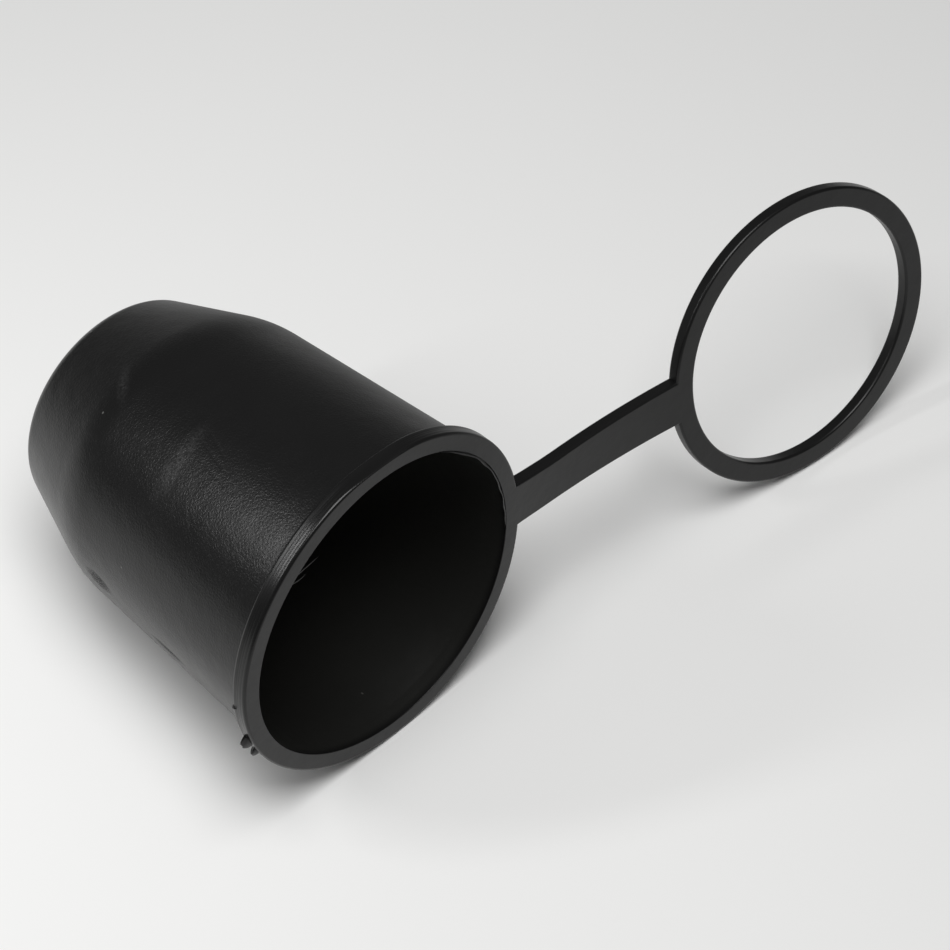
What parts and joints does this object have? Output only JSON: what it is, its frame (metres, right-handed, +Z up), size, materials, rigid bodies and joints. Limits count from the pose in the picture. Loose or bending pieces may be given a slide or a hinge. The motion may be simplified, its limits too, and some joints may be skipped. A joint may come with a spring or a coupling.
{
  "type": "tow ball cover",
  "caption": "Soft black moulded cup with a flanged mouth, and a flat strap that ends in a ring, which covers a tow ball and hangs from its neck.",
  "frame": {"origin": "centre of the cup's mouth, in the plane of the flange's face", "axes": "The cover lies on its side as it comes to rest, on the flange, the shoulder and the ring. +Z is up. The cup's axis is in the YZ plane, with the closed end towards +Y and 5.7 degrees below level. The strap and the ring reach towards +X."},
  "size_m": [0.1477, 0.0802, 0.0601],
  "materials": {
    "soft_black": "satin, with a fine leather-like grain"
  },
  "bodies": {
    "root": {"ball_cover": "soft_black"}
  },
  "joints": []
}
